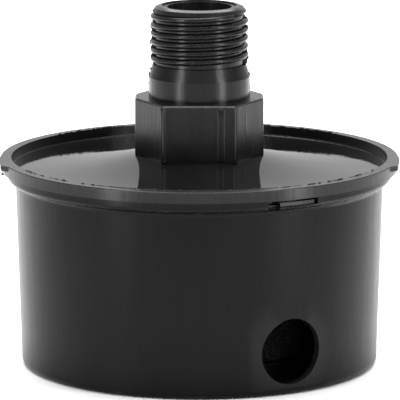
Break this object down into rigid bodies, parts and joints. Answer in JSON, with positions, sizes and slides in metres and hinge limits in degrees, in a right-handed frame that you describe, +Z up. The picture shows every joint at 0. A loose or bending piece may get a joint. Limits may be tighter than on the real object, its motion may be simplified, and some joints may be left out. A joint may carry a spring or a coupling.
{
  "type": "pneumatic intake muffler",
  "caption": "Round canister intake muffler and filter for a compressor, with a side inlet hole and a twist-lock head that ends in a hexagon and a male pipe thread.",
  "frame": {"origin": "centre of the canister's flat base", "axes": "+Z up along the axis of the thread and canister; -Y is the inlet side, whose hole sits about 30 degrees towards +X; the rim's two ears sit just on the inlet side of +X and -X"},
  "size_m": [0.0856, 0.0854, 0.0775],
  "materials": {
    "black_shell": "satin",
    "black_head": "satin",
    "seal_rubber": "matte",
    "cap_polyurethane": "matte",
    "filter_paper": "matte",
    "zinc_steel": "satin",
    "open_foam": "matte"
  },
  "bodies": {
    "canister_body": {"canister": "black_shell", "collar_gasket": "seal_rubber", "base_pad": "open_foam"},
    "head_body": {"threaded_head": "black_head", "cartridge_gasket": "seal_rubber", "top_end_cap": "cap_polyurethane", "bottom_end_cap": "cap_polyurethane", "pleated_media": "filter_paper", "inner_core": "zinc_steel", "outer_guard": "zinc_steel", "seam_clip": "zinc_steel", "foam_sleeve": "open_foam"}
  },
  "joints": [
    {"name": "bayonet_twist", "type": "hinge", "parent": "canister_body", "child": "head_body", "pos_m": [0, 0, 0.0415], "axis": [0, 0, 1], "range_deg": [-16, 0]}
  ]
}
